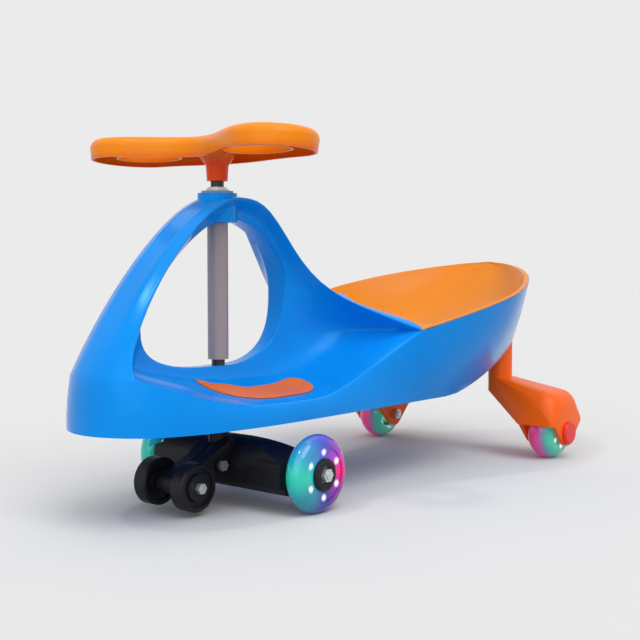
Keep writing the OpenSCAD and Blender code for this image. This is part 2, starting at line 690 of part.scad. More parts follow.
// Rear leg: an arm to a domed fender over the wheel, two fork plates, the axle's inner bosses and the post
module rear_leg(side) {
  color(leg_orange) translate([column_x, 0, 0]) mirror([0, side < 0 ? 1 : 0, 0]) difference() {
    union() {
      difference() {
        union() {
          hull() {
            translate([-post_reach, post_spacing / 2, arm_top_z - arm_root_h])
              cylinder(r = post_r, h = arm_root_h, $fn = 32);
            for (x = [-1, 1]) for (y = [-1, 1]) translate([-rear_reach, rear_track / 2, 0]) {
              translate([x * (fender_half - dome_r), y * (fork_half - dome_r), fender_top_z - dome_r])
                sphere(r = dome_r, $fn = 24);
              translate([x * (fender_half - fender_corner), y * (fork_half - fender_corner), fender_low_z])
                cylinder(r = fender_corner, h = fender_corner, $fn = 16);
            }
          }
          for (y = [-fork_half, fork_inside]) hull() {
            translate([-rear_reach, rear_track / 2 + y, rear_axle_z])
              rotate([-90, 0, 0]) cylinder(d = axle_cap_d + 4, h = fork_wall, $fn = 32);
            translate([fender_corner - fender_half - rear_reach, rear_track / 2 + y, fender_low_z])
              cube([2 * (fender_half - fender_corner), fork_wall, fender_corner]);
          }
          translate([-post_reach, post_spacing / 2, 0]) post_shape(arm_top_z - past, 0);
        }
        translate([-rear_reach, rear_track / 2, rear_axle_z]) rotate([90, 0, 0])
          cylinder(r = wheel_space_r, h = 2 * fork_inside, center = true);
      }
      translate([-rear_reach, rear_track / 2, rear_axle_z]) rotate([-90, 0, 0]) for (end = [-1, 1])
        translate([0, 0, end * (rear_boss_z + fork_inside + past) / 2])
          cylinder(r = spacer_r + 1, h = fork_inside + past - rear_boss_z, center = true);
    }
    translate([-rear_reach, rear_track / 2, rear_axle_z]) rotate([90, 0, 0])
      cylinder(r = axle_r + fit_gap, h = 4 * fork_half, center = true);
    translate([leg_screw_x - post_reach, post_spacing / 2, leg_screw_z]) rotate([0, -90, 0])
      cylinder(r = screw_r + fit_gap, h = socket_wall + screw_bite + fit_gap);
  }
}
module leg_screws() {
  color(steel) translate([column_x, 0, 0]) at_posts() translate([leg_screw_x, 0, leg_screw_z])
    rotate([0, -90, 0]) {
      translate([0, 0, -screw_head_h]) cylinder(r = screw_head_r, h = screw_head_h);
      translate([0, 0, -past]) cylinder(r = screw_r, h = socket_wall + screw_bite + past);
    }
}

// Rear axle: a bolt from the outside, its nut on the inner plate and a cap over its head
module rear_axle(side) {
  color(steel) at_rear(side) {
    translate([0, 0, -fork_half - nut_h - 2]) cylinder(r = axle_r, h = 2 * fork_half + nut_h + 3);
    translate([0, 0, fork_half]) cylinder(r = bolt_head_r, h = bolt_head_h);
  }
}
module rear_axle_nuts() {
  color(steel) for (side = [1, -1]) at_rear(side)
    hex_nut(nut_af, axle_r + fit_gap, -fork_half - nut_h, nut_h);
}
module rear_axle_caps() {
  color(cap_red) for (side = [1, -1]) at_rear(side) difference() {
    translate([0, 0, fork_half]) rotate_extrude() polygon([[0, 0], [axle_cap_d / 2, 0],
      [axle_cap_d / 2, cap_h - 2], [axle_cap_d / 2 - 2, cap_h], [0, cap_h]]);
    translate([0, 0, fork_half - past])
      cylinder(r = bolt_head_r + face_gap, h = bolt_head_h + face_gap + past);
  }
}
module magnet(half) { ring(bearing_r - 2, axle_r + fit_gap, -half + face_gap, half - face_gap); }
module rear_magnet(side) { color(magnet_grey) at_rear(side) magnet(rear_bearing_z); }
module front_magnet(side) { color(magnet_grey) at_front(side) magnet(front_bearing_z); }

// Steering column
module up_column(z) translate([column_x, 0, z]) children();
module steering_shaft() {
  color(moulded_black) difference() {
    up_column(shaft_bottom_z) cylinder(d = shaft_d, h = shaft_top_z - shaft_bottom_z);
    up_column(shaft_top_z - shaft_screw_l) cylinder(r = shaft_screw_r + fit_gap, h = shaft_screw_l + past);
  }
}
module column_sleeve() {
  color(sleeve_grey) up_column(0) ring(sleeve_d / 2, shaft_d / 2 + fit_gap, sleeve_z, sleeve_z + sleeve_l);
}
module upper_washer() {
  color(steel) up_column(0)
    ring(washer_d / 2, shaft_d / 2 + fit_gap, upper_washer_z, upper_washer_z + washer_t);
}
module retaining_ring() {
  color(steel) up_column(0)
    ring(shaft_d / 2 + 3, shaft_d / 2 + fit_gap, retaining_ring_z, retaining_ring_z + ring_t);
}
module thrust_washer() {
  color(steel) up_column(0) ring(bush_flange_d / 2, shaft_d / 2 + fit_gap, neck_z, neck_z + washer_t);
}

// Steering wheel: a butterfly-shaped hollow shell with two hand openings, open below, on a flared hub
lobe_half = lobe_depth / 2;
lobe_y = wheel_span / 2 - lobe_half;
grip_n = 44;
function grip_reach(y, inset) =
  let (past_lobe = max(0, abs(y) - lobe_y), r = lobe_half - inset)
  (lerp(grip_waist / 2 - inset, r, smooth(abs(y) / lobe_y))) * sqrt(max(0, 1 - pow(past_lobe / r, 2)));
function grip_point(k, edge, inset, z) =
  let (y = (wheel_span / 2 - inset) * sin(180 * k / grip_n - 90))
  [lobe_forward * smooth(abs(y) / lobe_y) + edge * grip_reach(y, inset), y, z];
function grip_ring(inset, z) = concat(
  [for (k = [0:grip_n]) grip_point(k, 1, inset, z)],
  [for (k = [grip_n - 1:-1:1]) grip_point(k, -1, inset, z)]);
module grip_solid(steps) {
  n = 2 * grip_n;
  top = n * (len(steps) - 1);
  polyhedron([for (s = steps) for (p = grip_ring(s[0], s[1])) p], concat(
    [[for (k = [0:n - 1]) k], [for (k = [n - 1:-1:0]) top + k]],
    [for (i = [0:len(steps) - 2]) for (k = [0:n - 1])
      let (a = i * n + k, b = i * n + (k + 1) % n)
      for (f = [[a, a + n, b + n], [a, b + n, b]]) f]));
}
skirt_low_z = wheel_top_z - rim_skirt;
function grip_step(t, wall) =
  [wall + grip_round * (1 - cos(t)), wheel_top_z - wall - grip_round * (1 - sin(t))];
outside_steps = concat([[grip_draft, skirt_low_z]], [for (t = [0:15:90]) grip_step(t, 0)]);
inside_steps = concat([[grip_draft + grip_wall, skirt_low_z - past]],
  [for (t = [0:30:90]) grip_step(t, grip_wall)]);
module hand_opening(spare, from, to)
  for (side = [1, -1]) translate([lobe_forward * 0.9, side * hand_y, from])
    linear_extrude(to - from) scale([hand_depth / 2 + spare, hand_l / 2 + spare]) circle(r = 1, $fn = 48);
module lean()
  translate([0, 0, wheel_top_z]) rotate([0, -wheel_tilt, 0]) translate([0, 0, -wheel_top_z]) children();
module steering_wheel() {
  color(seat_orange) up_column(0) difference() {
    union() {
      lean() resize([0, wheel_span, 0]) difference() {
        union() {
          difference() {
            grip_solid(outside_steps);
            grip_solid(inside_steps);
          }
          hand_opening(grip_wall, skirt_low_z + 3, wheel_top_z - 1);
        }
        hand_opening(0, skirt_low_z - past, wheel_top_z + past);
      }
      rotate_extrude() polygon([[0, hub_z], [hub_d / 2, hub_z], [hub_d / 2 + 1, skirt_low_z - 6],
        [hub_d / 2 + 8, skirt_low_z + 4], [hub_d / 2 + 9, wheel_top_z - past], [0, wheel_top_z - past]]);
    }
    translate([0, 0, hub_z - past])
      cylinder(r = shaft_d / 2 + fit_gap, h = shaft_top_z + fit_gap - hub_z + past);
    cylinder(r = shaft_screw_r + fit_gap, h = wheel_top_z);
    translate([0, 0, screw_seat_z]) cylinder(r = steering_cap_r + fit_gap, h = wheel_top_z);
  }
}
module steering_screw() {
  color(steel) {
    up_column(screw_seat_z) cylinder(r = 2 * shaft_screw_r, h = shaft_screw_r);
    up_column(shaft_top_z - shaft_screw_l + past)
      cylinder(r = shaft_screw_r, h = screw_seat_z - shaft_top_z + shaft_screw_l);
  }
}
module steering_cap() {
  color(seat_orange) up_column(screw_seat_z) difference() {
    rotate_extrude() polygon([[0, 0], [steering_cap_r, 0], [steering_cap_r, wheel_top_z - screw_seat_z],
      [steering_cap_r - 2, wheel_top_z - screw_seat_z + 1.2], [0, wheel_top_z - screw_seat_z + 1.6]]);
    translate([0, 0, -past])
      cylinder(r = 2 * shaft_screw_r + face_gap, h = shaft_screw_r + face_gap + past);
  }
}

// Front bogie: an arched housing open below, with the axle tube, the neck and the stabilisers' arm
function arch_r(half, rise) = (half * half + rise * rise) / (2 * rise);
module bogie_arch(inset, from) {
  span = arch_r(bogie_end_y, bogie_top_z - bogie_end_top);
  crown = (bogie_front + bogie_rear) / 2;
  intersection() {
    translate([0, 0, bogie_top_z - span]) rotate([0, 90, 0])
      cylinder(r = span - inset, h = 4 * crown, center = true);
    translate([(bogie_front - bogie_rear) / 2, 0, 0]) union() {
      translate([0, 0, bogie_top_z - crown]) rotate([90, 0, 0])
        cylinder(r = crown - inset, h = 2 * (bogie_end_y - inset), center = true);
      translate([inset - crown, inset - bogie_end_y, from])
        cube([2 * (crown - inset), 2 * (bogie_end_y - inset), bogie_top_z - crown - from]);
    }
  }
}
module across(x, z) translate([x, 0, z]) rotate([90, 0, 0]) children();
module arm_root() across(arm_root_x, front_axle_z + 3)
  cylinder(r = arm_root_r, h = 2 * arm_half, center = true, $fn = 32);
module bogie_arm() resize([0, 2 * hood_half, 0]) union() {
  hull() {
    across(0, bogie_top_z - 15) cylinder(r = 14, h = 2 * hood_half, center = true, $fn = 32);
    arm_root();
  }
  hull() {
    arm_root();
    across(stabiliser_forward, stabiliser_z)
      cylinder(r = arm_tip_r, h = 2 * arm_half, center = true, $fn = 32);
  }
}
module front_bogie() {
  color(moulded_black) up_column(0) difference() {
    union() {
      difference() {
        bogie_arch(0, bogie_low_z);
        bogie_arch(bogie_wall, bogie_low_z - past);
      }
      translate([0, 0, shaft_bottom_z - 6]) cylinder(r = neck_r, h = neck_z - shaft_bottom_z + 6);
      across(-front_trail, front_axle_z) cylinder(r = axle_tube_r, h = 2 * bogie_end_y, center = true);
      bogie_arm();
      across(pinch_x, pinch_z) cylinder(r = pinch_r + 5, h = 2 * pinch_half, center = true);
    }
    translate([0, 0, shaft_bottom_z - fit_gap]) cylinder(r = shaft_d / 2 + fit_gap, h = neck_z);
    translate([0, -pinch_slot / 2, pinch_z - 12]) cube([neck_r + 30, pinch_slot, neck_z]);
    across(-front_trail, front_axle_z) cylinder(r = axle_r + fit_gap, h = 3 * bogie_end_y, center = true);
    across(stabiliser_forward, stabiliser_z)
      cylinder(r = stabiliser_axle_r + fit_gap, h = 4 * arm_half, center = true);
    across(pinch_x, pinch_z) cylinder(r = pinch_r + fit_gap, h = 3 * pinch_half, center = true);
  }
}
module pinch_bolt() {
  color(steel) up_column(0) across(pinch_x, pinch_z) {
    translate([0, 0, -pinch_half - past]) cylinder(r = pinch_r, h = 2 * pinch_half + 8 + past);
    translate([0, 0, -pinch_half - 4]) cylinder(r = 2 * pinch_r, h = 4, $fn = 6);
  }
}
module pinch_nut() {
  color(steel) up_column(0) across(pinch_x, pinch_z) hex_nut(10, pinch_r + fit_gap, pinch_half, 5);
}
module front_axle() {
  color(steel) translate([column_x - front_trail, 0, front_axle_z]) rotate([90, 0, 0])
    cylinder(r = axle_r, h = front_track + 2 * (front_nut_z + nut_h + 1.5), center = true);
}
module front_axle_nuts() {
  color(steel) for (side = [1, -1]) at_front(side) hex_nut(nut_af, axle_r + fit_gap, front_nut_z, nut_h);
}
module front_spacers() {
  color(steel) for (side = [1, -1]) at_front(side)
    ring(spacer_r, axle_r + fit_gap, bogie_end_y - front_track / 2,
      -front_bearing_z - bearing_w - face_gap);
}
module stabiliser_axle() {
  color(steel) translate([column_x + stabiliser_forward, 0, stabiliser_z]) rotate([90, 0, 0])
    cylinder(r = stabiliser_axle_r, h = stabiliser_track + stabiliser_w + 12, center = true);
}
module stabiliser_nuts() {
  color(steel) for (side = [1, -1]) at_stabiliser(side)
    hex_nut(10, stabiliser_axle_r + fit_gap, stabiliser_w / 2 + face_gap, 5);
}
module stabiliser_wheel(side) {
  color(moulded_black) at_stabiliser(side) difference() {
    rotate_extrude() polygon([[0, -stabiliser_w / 2], [14, -stabiliser_w / 2], [15, 3 - stabiliser_w / 2],
      [19, 3 - stabiliser_w / 2], [20, -stabiliser_w / 2], [stabiliser_d / 2 - 2, -stabiliser_w / 2],
      [stabiliser_d / 2, 2 - stabiliser_w / 2], [stabiliser_d / 2, stabiliser_w / 2 - 2],
      [stabiliser_d / 2 - 2, stabiliser_w / 2], [20, stabiliser_w / 2], [19, stabiliser_w / 2 - 3],
      [15, stabiliser_w / 2 - 3], [14, stabiliser_w / 2], [0, stabiliser_w / 2]]);
    cylinder(r = stabiliser_axle_r + running_clearance, h = 2 * stabiliser_w, center = true);
  }
}

// Running wheels: a clear tyre on a core that carries two bearings and a ring of lights
module tyre(d, w, round_r, inner_r) {
  color(clear_polyurethane) rotate_extrude() intersection() {
    translate([d / 2 - round_r, 0]) circle(r = round_r);
    translate([inner_r + fit_gap, -w / 2]) square([d, w]);
  }
}
module core(r, half, light_z) {
  color(core_white) difference() {
    ring(r, bearing_r + fit_gap, -half, half);
    ring(r - light_rim, bearing_r + light_rim, -half - past, -light_z);
  }
}
module light_ring(r, light_z) {
  color(board_green)
    ring(r - light_rim - face_gap, bearing_r + light_rim + face_gap,
      -light_z - light_rim, -light_z - face_gap);
}
module bearings(bearing_z) {
  color(steel) for (from = [bearing_z, -bearing_z - bearing_w])
    ring(bearing_r, axle_r + running_clearance, from, from + bearing_w);
}
module front_tyre(side) { at_front(side) tyre(front_d, front_w, front_w / 2, core_r); }
module front_core(side) { at_front(side) core(core_r, front_bearing_z + bearing_w, front_light_z); }
module front_light_ring(side) { at_front(side) light_ring(core_r, front_light_z); }
module front_bearings(side) { at_front(side) bearings(front_bearing_z); }
module front_cap(side) {
  color(moulded_black) at_front(side) difference() {
    translate([0, 0, front_bearing_z + bearing_w + fit_gap]) rotate_extrude()
      polygon([[0, 0], [front_cap_d / 2, 0], [front_cap_d / 2, 2], [front_cap_d / 2 - 3, 4], [0, 4]]);
    cylinder(r = nut_af / 2 + 3, h = front_w);
  }
}
module rear_tyre(side) { at_rear(side) tyre(rear_d, rear_w, rear_w / 2 + 1, rear_core_r); }
module rear_core(side) { at_rear(side) core(rear_core_r, rear_bearing_z + bearing_w, rear_light_z); }
module rear_light_ring(side) { at_rear(side) light_ring(rear_core_r, rear_light_z); }
module rear_bearings(side) { at_rear(side) bearings(rear_bearing_z); }

body_shell();
seat_panel();
seat_screws();
upper_bush();
lower_bush();
rear_leg(1);  // rear_leg_left
rear_leg(-1);  // rear_leg_right
leg_screws();
rear_axle(1);  // rear_axle_left
rear_axle(-1);  // rear_axle_right
rear_axle_nuts();
rear_axle_caps();
rear_magnet(1);  // rear_magnet_left
rear_magnet(-1);  // rear_magnet_right
steering_shaft();
column_sleeve();
upper_washer();
retaining_ring();
thrust_washer();
steering_wheel();
steering_screw();
steering_cap();
front_bogie();
pinch_bolt();
pinch_nut();
front_axle();
front_axle_nuts();
front_spacers();
front_magnet(1);  // front_magnet_left
front_magnet(-1);  // front_magnet_right
stabiliser_axle();
stabiliser_nuts();
stabiliser_wheel(1);  // stabiliser_wheel_left
stabiliser_wheel(-1);  // stabiliser_wheel_right
front_tyre(1);  // front_tyre_left
front_core(1);  // front_core_left
front_light_ring(1);  // front_light_ring_left
front_bearings(1);  // front_bearings_left
front_cap(1);  // front_cap_left
front_tyre(-1);  // front_tyre_right
front_core(-1);  // front_core_right
front_light_ring(-1);  // front_light_ring_right
front_bearings(-1);  // front_bearings_right
front_cap(-1);  // front_cap_right
rear_tyre(1);  // rear_tyre_left
rear_core(1);  // rear_core_left
rear_light_ring(1);  // rear_light_ring_left
rear_bearings(1);  // rear_bearings_left
rear_tyre(-1);  // rear_tyre_right
rear_core(-1);  // rear_core_right
rear_light_ring(-1);  // rear_light_ring_right
rear_bearings(-1);  // rear_bearings_right
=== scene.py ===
import math
import bpy
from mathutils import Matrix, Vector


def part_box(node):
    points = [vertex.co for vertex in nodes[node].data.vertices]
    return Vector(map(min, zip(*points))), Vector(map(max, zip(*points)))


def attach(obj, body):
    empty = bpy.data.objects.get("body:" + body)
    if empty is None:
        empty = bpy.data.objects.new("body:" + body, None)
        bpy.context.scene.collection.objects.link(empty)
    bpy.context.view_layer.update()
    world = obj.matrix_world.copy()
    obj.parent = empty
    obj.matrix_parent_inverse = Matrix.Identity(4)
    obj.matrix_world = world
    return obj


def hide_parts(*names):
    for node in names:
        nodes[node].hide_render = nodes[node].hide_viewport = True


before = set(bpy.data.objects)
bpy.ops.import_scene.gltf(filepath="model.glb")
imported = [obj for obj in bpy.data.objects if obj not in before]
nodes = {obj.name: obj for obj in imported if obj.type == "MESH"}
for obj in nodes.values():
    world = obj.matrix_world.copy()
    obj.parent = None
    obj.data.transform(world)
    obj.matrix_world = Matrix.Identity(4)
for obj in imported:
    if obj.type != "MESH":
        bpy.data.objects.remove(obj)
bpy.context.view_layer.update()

# Body moulding: one blue blow-moulded shell with an arch over the column, two footwells and
# the rim round the seat. Gloss polypropylene with a faint orange peel, its edges rounded by the mould.
BODY_BLUE = (0.003, 0.275, 0.86)
BODY_SHEEN = (0.3, 0.85, 1.0, 1)
DULL_SHINE, PLAIN_SHINE = 0.25, 0.5
GRAIN_DEPTH = 0.0001
NOISE_LOW, NOISE_HIGH = 0.3, 0.7
WELD_GAP = 0.00002

EDGE_ROUND = 0.0026
SEAT_LIP_GAP = 0.003
BOSS_REACH = 0.0245
LIMB_FOOT_Z = 0.153
SADDLE_HALF, SADDLE_Z = 0.016, 0.14
FOLD_Y, FOLD_Z, FOLD_AHEAD = 0.0885, 0.108, 0.12


def middle(node):
    low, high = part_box(node)
    return (low + high) / 2


COLUMN_X = middle("steering_shaft").x
LIMBS_BACK_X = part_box("seat_panel")[1].x + SEAT_LIP_GAP


def alone(piece):
    bpy.ops.object.select_all(action="DESELECT")
    piece.hide_set(False)
    piece.select_set(True)
    bpy.context.view_layer.objects.active = piece


def merged_copy(node, name, body):
    """A copy of a node with its triangles joined, which stands for the node in the picture."""
    alone(nodes[node])
    bpy.ops.object.duplicate()
    piece = bpy.context.view_layer.objects.active
    piece.name = name
    bpy.ops.object.mode_set(mode="EDIT")
    bpy.ops.mesh.select_all(action="SELECT")
    bpy.ops.mesh.remove_doubles(threshold=WELD_GAP)
    bpy.ops.object.mode_set(mode="OBJECT")
    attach(piece, body)
    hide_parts(node)
    return piece


def select_folds(piece, fold):
    """Opens a piece for editing, with the edges selected that fold by more than an angle."""
    alone(piece)
    bpy.ops.object.mode_set(mode="EDIT")
    bpy.ops.mesh.select_mode(type="EDGE")
    bpy.ops.mesh.select_all(action="DESELECT")
    bpy.ops.mesh.edges_select_sharp(sharpness=math.radians(fold))


def soften(piece, chosen, fold, width, steps):
    """Rounds the folded edges of a piece whose middles are chosen."""
    select_folds(piece, fold)
    bpy.ops.object.mode_set(mode="OBJECT")
    points, edges = piece.data.vertices, piece.data.edges
    folded = [edge.index for edge in edges if edge.select]
    for part in list(points) + list(edges) + list(piece.data.polygons):
        part.select = False
    for index in folded:
        a, b = edges[index].vertices
        edges[index].select = chosen((points[a].co + points[b].co) / 2)
    bpy.ops.object.mode_set(mode="EDIT")
    bpy.ops.mesh.bevel(offset=width, segments=steps, profile=0.5, affect="EDGES", clamp_overlap=False)
    bpy.ops.object.mode_set(mode="OBJECT")


def smooth(piece, fold):
    """Shades a piece smooth, apart from the edges that fold by more than an angle."""
    alone(piece)
    bpy.ops.object.shade_smooth()
    select_folds(piece, fold)
    bpy.ops.mesh.mark_sharp()
    bpy.ops.object.mode_set(mode="OBJECT")


def new_finish(name):
    finish = bpy.data.materials.new(name)
    finish.use_nodes = True
    return finish


def shader_of(finish):
    return finish.node_tree.nodes["Principled BSDF"]


def mottle(tree, scale, detail):
    """Soft noise that is fixed to the piece, with so many patches a metre."""
    place = tree.nodes.new("ShaderNodeTexCoord")
    noise = tree.nodes.new("ShaderNodeTexNoise")
    noise.inputs["Scale"].default_value = scale
    noise.inputs["Detail"].default_value = detail
    tree.links.new(place.outputs["Object"], noise.inputs["Vector"])
    return noise.outputs["Fac"]


def uneven(tree, noise, low, high):
    """A value that wanders between two others with the noise."""
    spread = tree.nodes.new("ShaderNodeMapRange")
    spread.inputs["From Min"].default_value = NOISE_LOW
    spread.inputs["From Max"].default_value = NOISE_HIGH
    spread.inputs["To Min"].default_value = low
    spread.inputs["To Max"].default_value = high
    tree.links.new(noise, spread.inputs["Value"])
    return spread.outputs["Result"]


def cloudy(tree, noise, colour, darkest, lightest):
    """A colour that wanders between a darker and a lighter share of itself with the noise."""
    ramp = tree.nodes.new("ShaderNodeValToRGB")
    dark, light = ramp.color_ramp.elements
    dark.position, light.position = NOISE_LOW, NOISE_HIGH
    dark.color = [c * darkest for c in colour] + [1]
    light.color = [min(1, c * lightest) for c in colour] + [1]
    tree.links.new(noise, ramp.inputs["Fac"])
    return ramp.outputs["Color"]


def grain(tree, shader, noise, relief):
    """Fine bumps on a surface."""
    bump = tree.nodes.new("ShaderNodeBump")
    bump.inputs["Strength"].default_value = relief
    bump.inputs["Distance"].default_value = GRAIN_DEPTH
    tree.links.new(noise, bump.inputs["Height"])
    tree.links.new(bump.outputs["Normal"], shader.inputs["Normal"])


def moulded(name, colour, rough, bumps, relief, shine=PLAIN_SHINE):
    """Moulded plastic: faint cloudiness, uneven gloss and a grain of so many bumps a metre."""
    finish = new_finish(name)
    tree, shader = finish.node_tree, shader_of(finish)
    clouds = mottle(tree, scale=9, detail=3)
    tree.links.new(cloudy(tree, clouds, colour, darkest=0.94, lightest=1.05), shader.inputs["Base Color"])
    gloss = mottle(tree, scale=35, detail=4)
    tree.links.new(uneven(tree, gloss, *rough), shader.inputs["Roughness"])
    grain(tree, shader, mottle(tree, scale=bumps, detail=2), relief)
    shader.inputs["Specular IOR Level"].default_value = shine
    return finish


def dress_piece(piece, finish):
    piece.data.materials.clear()
    piece.data.materials.append(finish)


def body_edge(p):
    """Edges of the limbs, of the arch's opening and of the fold over the footwells."""
    limb = p.z > LIMB_FOOT_Z
    saddle = abs(p.y) < SADDLE_HALF and p.z > SADDLE_Z
    off_boss = math.hypot(p.x - COLUMN_X, p.y) > BOSS_REACH
    fold = abs(p.y) > FOLD_Y and p.z > FOLD_Z and p.x < COLUMN_X + FOLD_AHEAD
    return p.x > LIMBS_BACK_X and (fold or (off_boss and (limb or saddle)))


body_plastic = moulded("body_blue_plastic", BODY_BLUE, rough=(0.15, 0.21), bumps=240, relief=0.03,
                       shine=DULL_SHINE)
shader_of(body_plastic).inputs["Specular Tint"].default_value = BODY_SHEEN
body = merged_copy("body_shell", "body_moulding", "car_body")
soften(body, body_edge, fold=26, width=EDGE_ROUND, steps=3)
smooth(body, fold=32)
dress_piece(body, body_plastic)

# Bushes of the column: pale grey nylon, turned, pressed into the bosses of the arch and the deck.
# A satin surface with faint cloudiness, which lets a little light in.
NYLON_GREY = (0.34, 0.33, 0.35)
NYLON_DEPTH = 0.1


def dress(finish, *names):
    for name in names:
        dress_piece(nodes[name], finish)


nylon = moulded("grey_nylon", NYLON_GREY, rough=(0.35, 0.50), bumps=500, relief=0.05)
shader_of(nylon).inputs["Subsurface Weight"].default_value = NYLON_DEPTH
dress(nylon, "upper_bush", "lower_bush")

# Seat panel: an orange dished sheet whose rolled edge laps over the rim, screwed to the deck.
# Moulded plastic, less glossy than the body.
SEAT_ORANGE = (0.75, 0.228, 0.003)
seat_plastic = moulded("seat_orange_plastic", SEAT_ORANGE, rough=(0.26, 0.40), bumps=300, relief=0.06,
                       shine=DULL_SHINE)
seat = merged_copy("seat_panel", "seat_dish", "car_body")
smooth(seat, fold=40)
dress_piece(seat, seat_plastic)

# Foot pads: one orange leaf-shaped rubber mat in each footwell, glued down, with a fine non-slip
# grain. A flat sheet is cut to the outline, laid on the footwell and given its thickness.
PAD_ORANGE = (0.84, 0.165, 0.012)
PAD_FRONT, PAD_BACK = 0.0485, -0.0880
PAD_HALF = 0.0185
PAD_ROUND = 0.0180
PAD_TAPER_FROM, PAD_TAPER_CURVE = 0.008, 1.3
PAD_LEAN_FROM, PAD_LEAN_CURVE = -0.015, 1.5
PAD_LEAN = 0.0345
PAD_MIDDLE_Y = 0.0495
PAD_DROP_Z = 0.2
PAD_TIP_WELD = 0.0001
PAD_GLUE = 0.0003
PAD_THICK = 0.0011
PAD_EDGE = 0.0004
pad_rubber = moulded("pad_orange_rubber", PAD_ORANGE, rough=(0.42, 0.55), bumps=900, relief=0.25)


def pad_point(along, across):
    """Place on the left pad for a place on a square that runs from -1 to 1."""
    x = PAD_BACK + (PAD_FRONT - PAD_BACK) * (1 + math.sin(along * math.pi / 2)) / 2
    short = max(0.0, 1 - (x - PAD_BACK) / PAD_ROUND)
    taper = max(0.0, (x - PAD_TAPER_FROM) / (PAD_FRONT - PAD_TAPER_FROM))
    lean = max(0.0, (x - PAD_LEAN_FROM) / (PAD_FRONT - PAD_LEAN_FROM))
    half = PAD_HALF * math.sqrt(max(0.0, 1 - short ** 2)) * max(0.0, 1 - taper ** PAD_TAPER_CURVE)
    return COLUMN_X + x, PAD_MIDDLE_Y - PAD_LEAN * lean ** PAD_LEAN_CURVE + across * half


def foot_pad(name, side):
    bpy.ops.object.select_all(action="DESELECT")
    bpy.ops.mesh.primitive_grid_add(x_subdivisions=60, y_subdivisions=20, size=2, location=(0, 0, 0))
    pad = bpy.context.object
    pad.name = name
    for point in pad.data.vertices:
        x, y = pad_point(point.co.x, point.co.y * side)
        point.co = (x, side * y, PAD_DROP_Z)
    bpy.ops.object.mode_set(mode="EDIT")
    bpy.ops.mesh.select_all(action="SELECT")
    bpy.ops.mesh.remove_doubles(threshold=PAD_TIP_WELD)
    bpy.ops.object.mode_set(mode="OBJECT")
    lay = pad.modifiers.new("lay", "SHRINKWRAP")
    lay.target = body
    lay.wrap_method = "PROJECT"
    lay.use_project_z = True
    lay.use_negative_direction = True
    lay.use_positive_direction = False
    lay.offset = PAD_GLUE
    bpy.ops.object.modifier_apply(modifier="lay")
    sheet = pad.modifiers.new("sheet", "SOLIDIFY")
    sheet.thickness = PAD_THICK
    sheet.offset = 1
    bpy.ops.object.modifier_apply(modifier="sheet")
    edge = pad.modifiers.new("edge", "BEVEL")
    edge.width = PAD_EDGE
    edge.segments = 2
    edge.angle_limit = math.radians(50)
    bpy.ops.object.modifier_apply(modifier="edge")
    smooth(pad, fold=40)
    dress_piece(pad, pad_rubber)
    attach(pad, "car_body")


foot_pad("foot_pad_left", 1)
foot_pad("foot_pad_right", -1)

# Rear legs: red-orange mouldings, each a post screwed into a socket under the seat, an arm to a
# domed fender over the wheel and a fork that carries the axle. Moulded plastic like the seat's.
LEG_ORANGE = (1.0, 0.135, 0.003)
leg_plastic = moulded("leg_orange_plastic", LEG_ORANGE, rough=(0.26, 0.36), bumps=300, relief=0.05,
                      shine=DULL_SHINE)
for side in ("left", "right"):
    leg = merged_copy("rear_leg_" + side, "rear_leg_shell_" + side, "car_body")
    smooth(leg, fold=38)
    dress_piece(leg, leg_plastic)

# Caps over the rear axle bolts: small red discs pushed on to the fork plates.
# A plastic like that of the legs, dyed red.
CAP_RED = (0.80, 0.014, 0.008)
cap_plastic = moulded("cap_red_plastic", CAP_RED, rough=(0.28, 0.38), bumps=400, relief=0.05)
dress(cap_plastic, "rear_axle_caps")

# Screws, nuts, bolts, washers and axles: zinc-plated steel, turned or cold headed.
# A pale and slightly uneven plating over a fine grain.
ZINC_GREY = (0.62, 0.63, 0.66)
PLATING = 0.75


def plated(name, colour, rough):
    """Plated steel: uneven plating and gloss over a fine grain."""
    finish = new_finish(name)
    tree, shader = finish.node_tree, shader_of(finish)
    shader.inputs["Metallic"].default_value = PLATING
    clouds = mottle(tree, scale=60, detail=4)
    tree.links.new(cloudy(tree, clouds, colour, darkest=0.85, lightest=1.08), shader.inputs["Base Color"])
    gloss = mottle(tree, scale=240, detail=3)
    tree.links.new(uneven(tree, gloss, *rough), shader.inputs["Roughness"])
    grain(tree, shader, mottle(tree, scale=1400, detail=2), relief=0.1)
    return finish


zinc = plated("zinc_plated_steel", ZINC_GREY, rough=(0.32, 0.50))
dress(zinc, "seat_screws", "leg_screws", "rear_axle_left", "rear_axle_right", "rear_axle_nuts",
      "upper_washer", "retaining_ring", "thrust_washer", "steering_screw", "pinch_bolt", "pinch_nut",
      "front_axle", "front_axle_nuts", "front_spacers", "stabiliser_axle", "stabiliser_nuts")

# Steering shaft: a steel rod, painted black, from the bogie up to the steering wheel.
# Semi-gloss paint with a little unevenness.
SHAFT_BLACK = (0.012, 0.012, 0.014)
black_paint = moulded("black_shaft_paint", SHAFT_BLACK, rough=(0.25, 0.40), bumps=600, relief=0.05)
dress(black_paint, "steering_shaft")

# Sleeve round the shaft inside the arch: an extruded tube of warm grey plastic, slipped on.
# Satin, with faint cloudiness.
SLEEVE_GREY = (0.37, 0.31, 0.31)
sleeve_plastic = moulded("grey_sleeve_plastic", SLEEVE_GREY, rough=(0.30, 0.42), bumps=400, relief=0.05)
dress(sleeve_plastic, "column_sleeve")

